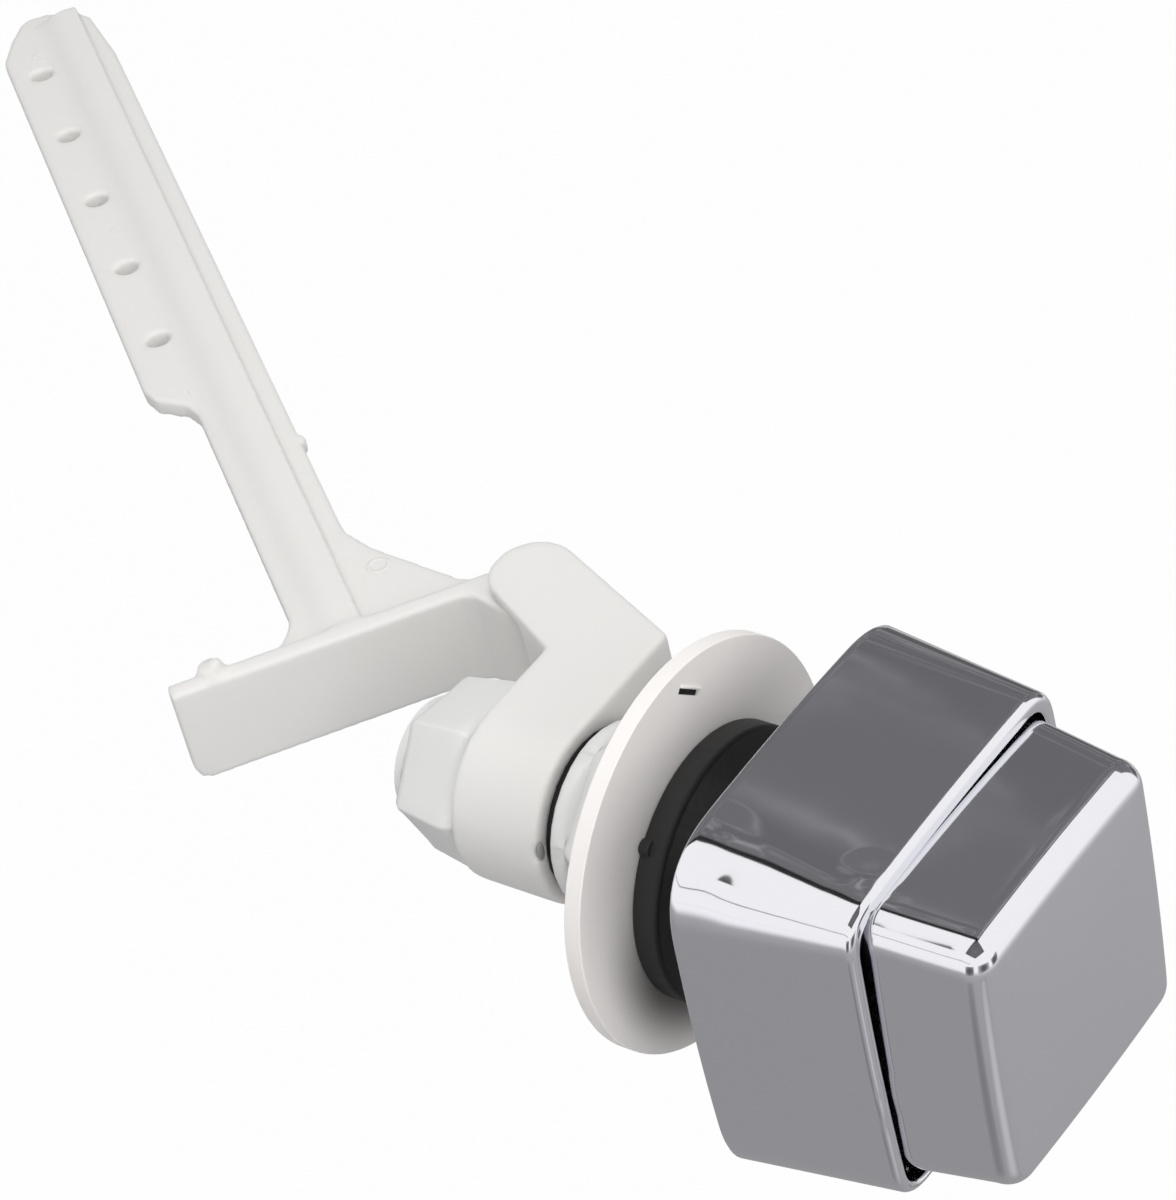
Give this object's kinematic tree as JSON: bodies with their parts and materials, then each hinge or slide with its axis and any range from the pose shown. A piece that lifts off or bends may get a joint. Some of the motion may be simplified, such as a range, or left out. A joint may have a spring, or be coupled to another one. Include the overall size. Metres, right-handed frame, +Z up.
{
  "type": "cistern push button",
  "caption": "Square front push button for a cistern, with gasket, washer, nuts, an elbow bracket and a hinged lever with chain holes.",
  "frame": {"origin": "on the barrel's axis, in the plane of the housing's rear edge that seats on the cistern wall", "axes": "+Y runs back into the cistern along the button's travel, +Z is up and +X is to the right as seen from the button"},
  "size_m": [0.1136, 0.1988, 0.0412],
  "materials": {
    "chrome": "bright plated plastic, slightly soft reflections",
    "white_plastic": "satin moulded plastic, warm off-white",
    "grey_plastic": "satin moulded plastic, cool light grey",
    "washer_plastic": "matt punched sheet plastic, warm off-white",
    "rubber": "matt black rubber",
    "steel": "plain stainless steel"
  },
  "bodies": {
    "mounting": {"housing": "chrome", "threaded_barrel": "grey_plastic", "rod_bush": "white_plastic", "flange_screw_1": "steel", "flange_screw_2": "steel", "flange_screw_3": "steel", "flange_screw_4": "steel", "gasket": "rubber", "flat_washer": "washer_plastic", "lock_nut": "grey_plastic", "bracket": "white_plastic", "bracket_nut": "grey_plastic", "pivot_pin": "steel", "return_spring": "steel"},
    "button": {"button_cap": "chrome", "button_carrier": "white_plastic", "carrier_screw": "steel", "push_rod": "white_plastic"},
    "lever": {"lever": "white_plastic"}
  },
  "joints": [
    {"name": "button_press", "type": "slide", "parent": "mounting", "child": "button", "axis": [0, 1, 0], "range_m": [0, 0.008], "stiffness_N_per_m": 500, "springref_m": -0.004, "deforming": ["return_spring"]},
    {"name": "lever_swing", "type": "hinge", "parent": "mounting", "child": "lever", "pos_m": [0.0182, 0.0415, 0], "axis": [0, 0, 1], "range_deg": [-60, 9]}
  ]
}
